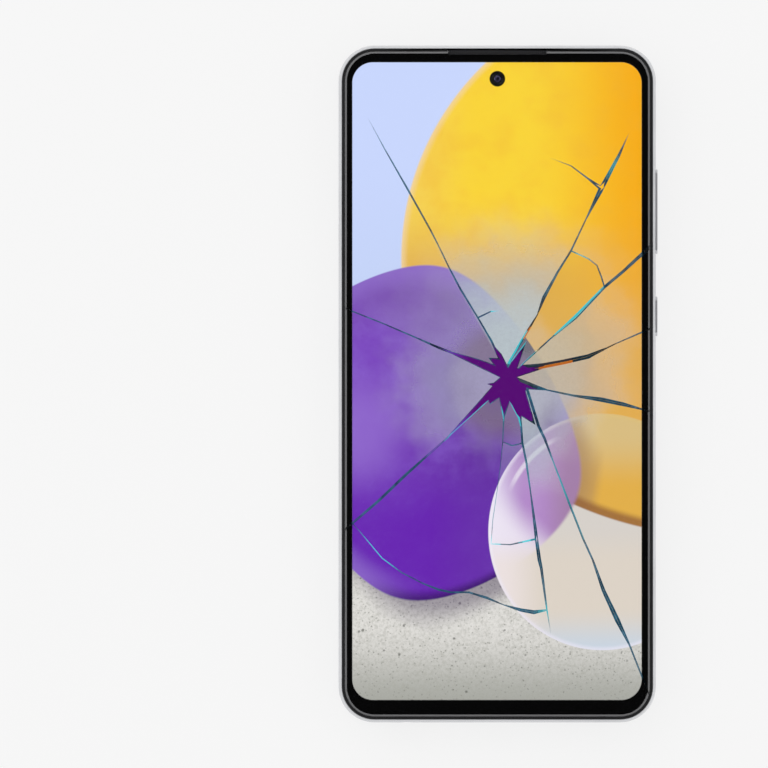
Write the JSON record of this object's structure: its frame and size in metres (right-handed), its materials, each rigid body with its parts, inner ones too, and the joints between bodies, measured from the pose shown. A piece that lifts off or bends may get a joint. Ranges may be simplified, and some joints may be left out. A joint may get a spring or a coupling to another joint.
{
  "type": "mobile phone with a shattered screen",
  "caption": "Slim touch-screen phone whose display glass is cracked into long pieces around a star-shaped hole, with camera bump, keys and card tray.",
  "frame": {"origin": "under the middle of the body, on the plane that the camera rings touch", "axes": "+X across the screen to the side keys, +Y along the body to the earpiece, +Z out of the screen"},
  "size_m": [0.0777, 0.165, 0.0099],
  "materials": {
    "display_glass": "clear, hazed round the impact",
    "clear_adhesive": "clear",
    "display": "lit fields of colour",
    "foam_sheet": "matte foam",
    "black_tape": "matte",
    "copper_flex": "satin polyimide film",
    "black_gasket": "satin",
    "black_plastic": "moulded, fine grain",
    "silver_frame": "smooth metallic silver",
    "steel": "stamped, plain",
    "circuit_board": "solder mask",
    "battery_wrap": "pouch film",
    "ceramic_led": "phosphor",
    "flash_plastic": "milky clear",
    "camera_rim": "polished",
    "dark_glass": "tinted, polished",
    "gold_can": "plated",
    "black_sleeve": "smooth",
    "rear_black": "satin black"
  },
  "bodies": {
    "phone": {"glass_top": "display_glass", "glass_wedge": "display_glass", "glass_right_upper": "display_glass", "glass_right_middle": "display_glass", "glass_right_lower": "display_glass", "glass_bottom": "display_glass", "glass_sliver_upper": "display_glass", "glass_sliver_lower": "display_glass", "glass_lower_left": "display_glass", "glass_left": "display_glass", "optical_adhesive": "clear_adhesive", "display_panel": "display", "display_backing": "foam_sheet", "display_tape": "black_tape", "rear_cover_adhesive": "black_tape", "display_flex": "copper_flex", "key_flex": "copper_flex", "battery_flex": "copper_flex", "interconnect_flex": "copper_flex", "nfc_antenna": "copper_flex", "display_bezel": "black_gasket", "earpiece_mesh": "black_gasket", "earpiece_speaker": "black_plastic", "front_camera": "black_plastic", "main_camera": "black_plastic", "wide_camera": "black_plastic", "depth_camera": "black_plastic", "macro_camera": "black_plastic", "upper_bracket": "black_plastic", "loudspeaker": "black_plastic", "usb_tongue": "black_plastic", "headphone_jack": "black_plastic", "mid_frame": "silver_frame", "sim_reader": "steel", "processor_shield": "steel", "radio_shield": "steel", "usb_socket": "steel", "vibration_motor": "steel", "screws": "steel", "main_board": "circuit_board", "sub_board": "circuit_board", "battery": "battery_wrap", "flash_led": "ceramic_led", "flash_lens": "flash_plastic", "camera_ring_1": "camera_rim", "camera_ring_2": "camera_rim", "camera_ring_3": "camera_rim", "camera_glass_1": "dark_glass", "camera_glass_2": "dark_glass", "camera_glass_3": "dark_glass", "macro_glass": "dark_glass", "top_microphone": "gold_can", "bottom_microphone": "gold_can", "coax_cable": "black_sleeve", "rear_cover": "rear_black"},
    "sim_tray": {"sim_tray": "silver_frame"},
    "volume_key": {"volume_key": "silver_frame"},
    "power_key": {"power_key": "silver_frame"}
  },
  "joints": [
    {"name": "tray_slide", "type": "slide", "parent": "phone", "child": "sim_tray", "axis": [-1, 0, 0], "range_m": [0, 0.026]},
    {"name": "volume_rock", "type": "hinge", "parent": "phone", "child": "volume_key", "pos_m": [0.03675, 0.042, 0.0065], "axis": [0, 0, 1], "range_deg": [-1.5, 1.5], "stiffness_Nm_per_rad": 0.6},
    {"name": "power_press", "type": "slide", "parent": "phone", "child": "power_key", "axis": [-1, 0, 0], "range_m": [0, 0.0003], "stiffness_N_per_m": 6000}
  ]
}
